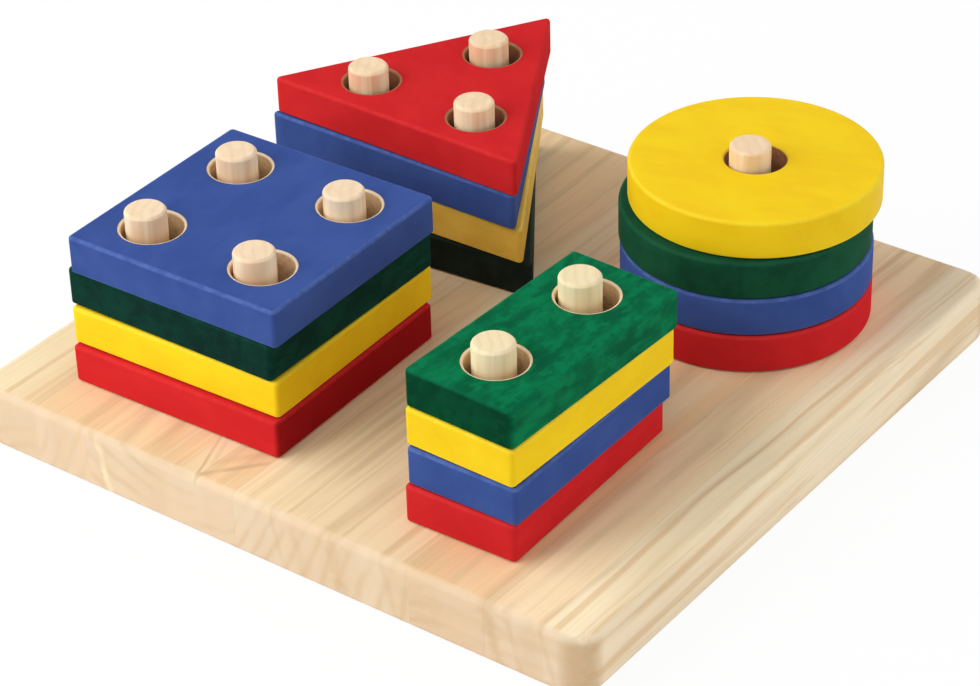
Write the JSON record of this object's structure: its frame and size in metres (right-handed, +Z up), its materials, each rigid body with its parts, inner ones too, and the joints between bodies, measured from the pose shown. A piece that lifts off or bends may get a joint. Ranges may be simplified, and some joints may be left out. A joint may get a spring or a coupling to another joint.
{
  "type": "shape sorting board",
  "caption": "Square wooden board with upright pegs that carry stacks of painted square, rectangular, triangular and round blocks; the holed blocks lift off the pegs.",
  "frame": {"origin": "middle of the board's underside", "axes": "+Z up along the pegs, +X along the board's front edge to the right, +Y to the back"},
  "size_m": [0.18, 0.18, 0.0611],
  "materials": {
    "board_wood": "bare pale wood, sanded",
    "peg_wood": "bare pale dowel, sanded",
    "paint_red": "satin red paint",
    "paint_yellow": "satin yellow paint",
    "paint_blue": "satin blue paint",
    "paint_green": "green stain with the grain showing"
  },
  "bodies": {
    "board": {"base_board": "board_wood", "square_peg_1": "peg_wood", "square_peg_2": "peg_wood", "square_peg_3": "peg_wood", "square_peg_4": "peg_wood", "rectangle_peg_1": "peg_wood", "rectangle_peg_2": "peg_wood", "triangle_peg_1": "peg_wood", "triangle_peg_2": "peg_wood", "triangle_peg_3": "peg_wood", "round_peg": "peg_wood"},
    "square_block_red": {"square_block_red": "paint_red"},
    "square_block_yellow": {"square_block_yellow": "paint_yellow"},
    "square_block_green": {"square_block_green": "paint_green"},
    "square_block_blue": {"square_block_blue": "paint_blue"},
    "rectangle_block_red": {"rectangle_block_red": "paint_red"},
    "rectangle_block_blue": {"rectangle_block_blue": "paint_blue"},
    "rectangle_block_yellow": {"rectangle_block_yellow": "paint_yellow"},
    "rectangle_block_green": {"rectangle_block_green": "paint_green"},
    "triangle_block_green": {"triangle_block_green": "paint_green"},
    "triangle_block_yellow": {"triangle_block_yellow": "paint_yellow"},
    "triangle_block_blue": {"triangle_block_blue": "paint_blue"},
    "triangle_block_red": {"triangle_block_red": "paint_red"},
    "round_block_red": {"round_block_red": "paint_red"},
    "round_block_blue": {"round_block_blue": "paint_blue"},
    "round_block_green": {"round_block_green": "paint_green"},
    "round_block_yellow": {"round_block_yellow": "paint_yellow"}
  },
  "joints": [
    {"name": "square_block_red_lift", "type": "slide", "parent": "board", "child": "square_block_red", "axis": [0, 0, 1], "range_m": [0, 0.0498]},
    {"name": "square_block_yellow_lift", "type": "slide", "parent": "square_block_red", "child": "square_block_yellow", "axis": [0, 0, 1], "range_m": [0, 0.0397]},
    {"name": "square_block_green_lift", "type": "slide", "parent": "square_block_yellow", "child": "square_block_green", "axis": [0, 0, 1], "range_m": [0, 0.0296]},
    {"name": "square_block_blue_lift", "type": "slide", "parent": "square_block_green", "child": "square_block_blue", "axis": [0, 0, 1], "range_m": [0, 0.0195]},
    {"name": "rectangle_block_red_lift", "type": "slide", "parent": "board", "child": "rectangle_block_red", "axis": [0, 0, 1], "range_m": [0, 0.0498]},
    {"name": "rectangle_block_blue_lift", "type": "slide", "parent": "rectangle_block_red", "child": "rectangle_block_blue", "axis": [0, 0, 1], "range_m": [0, 0.0397]},
    {"name": "rectangle_block_yellow_lift", "type": "slide", "parent": "rectangle_block_blue", "child": "rectangle_block_yellow", "axis": [0, 0, 1], "range_m": [0, 0.0296]},
    {"name": "rectangle_block_green_lift", "type": "slide", "parent": "rectangle_block_yellow", "child": "rectangle_block_green", "axis": [0, 0, 1], "range_m": [0, 0.0195]},
    {"name": "triangle_block_green_lift", "type": "slide", "parent": "board", "child": "triangle_block_green", "axis": [0, 0, 1], "range_m": [0, 0.0498]},
    {"name": "triangle_block_yellow_lift", "type": "slide", "parent": "triangle_block_green", "child": "triangle_block_yellow", "axis": [0, 0, 1], "range_m": [0, 0.0397]},
    {"name": "triangle_block_blue_lift", "type": "slide", "parent": "triangle_block_yellow", "child": "triangle_block_blue", "axis": [0, 0, 1], "range_m": [0, 0.0296]},
    {"name": "triangle_block_red_lift", "type": "slide", "parent": "triangle_block_blue", "child": "triangle_block_red", "axis": [0, 0, 1], "range_m": [0, 0.0195]},
    {"name": "round_block_red_lift", "type": "slide", "parent": "board", "child": "round_block_red", "axis": [0, 0, 1], "range_m": [0, 0.0498]},
    {"name": "round_block_blue_lift", "type": "slide", "parent": "round_block_red", "child": "round_block_blue", "axis": [0, 0, 1], "range_m": [0, 0.0397]},
    {"name": "round_block_green_lift", "type": "slide", "parent": "round_block_blue", "child": "round_block_green", "axis": [0, 0, 1], "range_m": [0, 0.0296]},
    {"name": "round_block_yellow_lift", "type": "slide", "parent": "round_block_green", "child": "round_block_yellow", "axis": [0, 0, 1], "range_m": [0, 0.0195]}
  ]
}
